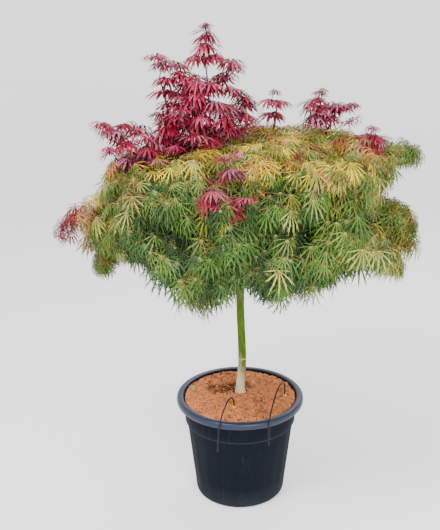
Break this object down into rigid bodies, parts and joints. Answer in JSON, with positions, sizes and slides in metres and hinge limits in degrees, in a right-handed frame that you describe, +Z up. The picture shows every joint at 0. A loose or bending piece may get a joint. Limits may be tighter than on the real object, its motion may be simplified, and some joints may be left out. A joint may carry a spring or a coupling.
{
  "type": "potted japanese maple",
  "caption": "Weeping Japanese maple grafted on a straight clear stem, with an umbrella of fine leaves and red upright shoots, in a round nursery pot.",
  "frame": {"origin": "centre of the pot's flat underside", "axes": "+Z up along the clear stem, -Y towards the side where the drip tubes leave the pot, +X to the right seen from there"},
  "size_m": [1.1647, 1.1291, 1.6358],
  "materials": {
    "pot": "matte moulded, dusty near the foot",
    "soil": "loose crumbs of coir and bark",
    "bark": "smooth green bark, pale grey at the foot",
    "green_leaf": "soft satin leaf",
    "pale_leaf": "soft satin leaf",
    "gold_leaf": "soft satin leaf",
    "red_leaf": "soft satin leaf",
    "tube": "satin black",
    "dripper": "yellow moulded"
  },
  "bodies": {
    "root": {"pot": "pot", "soil": "soil", "trunk": "bark", "bough_1": "bark", "bough_2": "bark", "bough_3": "bark", "bough_4": "bark", "bough_5": "bark", "bough_6": "bark", "bough_7": "bark", "bough_8": "bark", "heart_shoot_bough": "bark", "leader": "bark", "left_spire_bough": "bark", "left_spray_bough": "bark", "middle_spire_bough": "bark", "right_spray_bough": "bark", "right_sprig_bough": "bark", "top_bough_1": "bark", "top_bough_2": "bark", "top_bough_3": "bark", "front_red_foliage_7": "red_leaf", "heart_shoot_foliage": "red_leaf", "leader_shoot_foliage": "red_leaf", "left_spire_foliage": "red_leaf", "left_spray_foliage": "red_leaf", "middle_spire_foliage": "red_leaf", "right_spray_foliage": "red_leaf", "right_sprig_foliage": "red_leaf", "shoulder_foliage_1": "pale_leaf", "shoulder_foliage_2": "pale_leaf", "shoulder_foliage_3": "pale_leaf", "shoulder_foliage_4": "pale_leaf", "shoulder_foliage_5": "pale_leaf", "shoulder_foliage_6": "pale_leaf", "shoulder_foliage_8": "pale_leaf", "skirt_foliage_1": "green_leaf", "skirt_foliage_2": "green_leaf", "skirt_foliage_3": "green_leaf", "skirt_foliage_4": "green_leaf", "skirt_foliage_5": "green_leaf", "skirt_foliage_6": "green_leaf", "skirt_foliage_7": "green_leaf", "skirt_foliage_8": "green_leaf", "top_foliage_1": "gold_leaf", "top_foliage_2": "gold_leaf", "top_foliage_3": "gold_leaf", "under_foliage_1": "green_leaf", "under_foliage_2": "green_leaf", "under_foliage_3": "green_leaf", "under_foliage_4": "green_leaf", "drip_tube_left": "tube", "drip_tube_right": "tube", "dripper_left": "dripper", "dripper_right": "dripper"}
  },
  "joints": []
}
